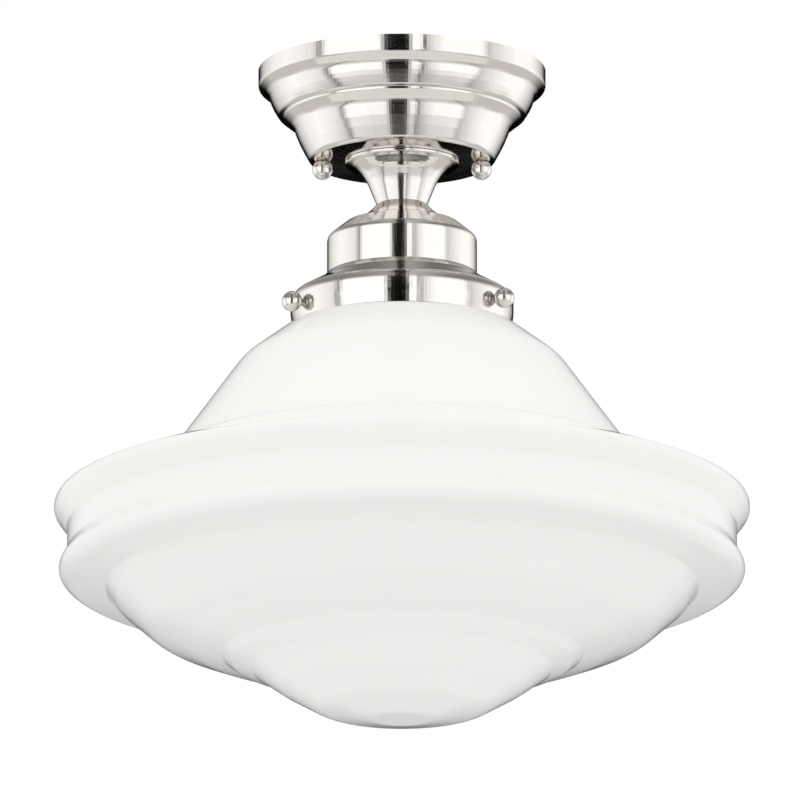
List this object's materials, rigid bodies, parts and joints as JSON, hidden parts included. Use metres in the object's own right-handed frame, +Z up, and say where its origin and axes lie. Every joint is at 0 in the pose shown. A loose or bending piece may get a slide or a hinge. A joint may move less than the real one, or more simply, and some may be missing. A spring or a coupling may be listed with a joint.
{
  "type": "semi flush ceiling light",
  "caption": "Semi flush ceiling light: stepped spun canopy, trumpet neck, cup and shade holder with ball thumb screws, and a domed opal glass shade with a grooved drum and tiered bowl.",
  "frame": {"origin": "on the light's axis, in the ceiling plane: the middle between the mounting strap's two outlet box slots, at the strap's upper face", "axes": "+Z up along the light's axis, towards the ceiling; +X along the mounting strap, towards its ground screw; -Y towards the viewer of the picture"},
  "size_m": [0.3048, 0.3048, 0.2935],
  "materials": {
    "satin_nickel": "satin",
    "opal_glass": "gloss",
    "zinc_steel": "satin",
    "porcelain": "gloss",
    "brass": "satin",
    "black_insulation": "satin",
    "white_insulation": "satin",
    "connector_plastic": "matte",
    "copper": "satin",
    "green_screw": "satin"
  },
  "bodies": {
    "fitting": {"mounting_strap": "zinc_steel", "canopy_studs": "satin_nickel", "stud_lock_nuts": "zinc_steel", "ground_screw": "green_screw", "canopy": "satin_nickel", "threaded_nipple": "zinc_steel", "canopy_washer": "zinc_steel", "ring_terminal": "brass", "lock_washer": "zinc_steel", "canopy_locknut": "zinc_steel", "neck": "satin_nickel", "socket_cup": "satin_nickel", "shade_holder": "satin_nickel", "holder_washer": "zinc_steel", "holder_locknut": "zinc_steel", "socket_bracket": "zinc_steel", "bracket_screws": "zinc_steel", "socket_body": "porcelain", "screw_shell": "brass", "centre_contact": "brass", "terminal_screw_hot": "brass", "terminal_screw_neutral": "zinc_steel", "lead_hot": "black_insulation", "lead_neutral": "white_insulation", "wire_nut_hot": "connector_plastic", "wire_nut_neutral": "connector_plastic", "ground_lead": "copper"},
    "shade": {"glass_shade": "opal_glass"},
    "screw_left": {"thumb_screw_left": "satin_nickel"},
    "screw_right": {"thumb_screw_right": "satin_nickel"},
    "screw_back": {"thumb_screw_back": "satin_nickel"},
    "nut_left": {"ball_nut_left": "satin_nickel"},
    "nut_right": {"ball_nut_right": "satin_nickel"}
  },
  "joints": [
    {"name": "shade_drop", "type": "slide", "parent": "fitting", "child": "shade", "axis": [0, 0, -1], "range_m": [0, 0.015]},
    {"name": "screw_out_left", "type": "slide", "parent": "fitting", "child": "screw_left", "axis": [-0.8957, -0.4446, 0], "range_m": [0, 0.00675]},
    {"name": "screw_out_right", "type": "slide", "parent": "fitting", "child": "screw_right", "axis": [0.8329, -0.5534, 0], "range_m": [0, 0.00675]},
    {"name": "screw_out_back", "type": "slide", "parent": "fitting", "child": "screw_back", "axis": [0.0628, 0.998, 0], "range_m": [0, 0.00675]},
    {"name": "nut_down_left", "type": "slide", "parent": "fitting", "child": "nut_left", "axis": [0, 0, -1], "range_m": [0, 0.005]},
    {"name": "nut_down_right", "type": "slide", "parent": "fitting", "child": "nut_right", "axis": [0, 0, -1], "range_m": [0, 0.005]}
  ],
  "couplings": [
    {"joint": "screw_out_left", "follows": "shade_drop", "ratio": 0.45},
    {"joint": "screw_out_right", "follows": "shade_drop", "ratio": 0.45},
    {"joint": "screw_out_back", "follows": "shade_drop", "ratio": 0.45}
  ]
}
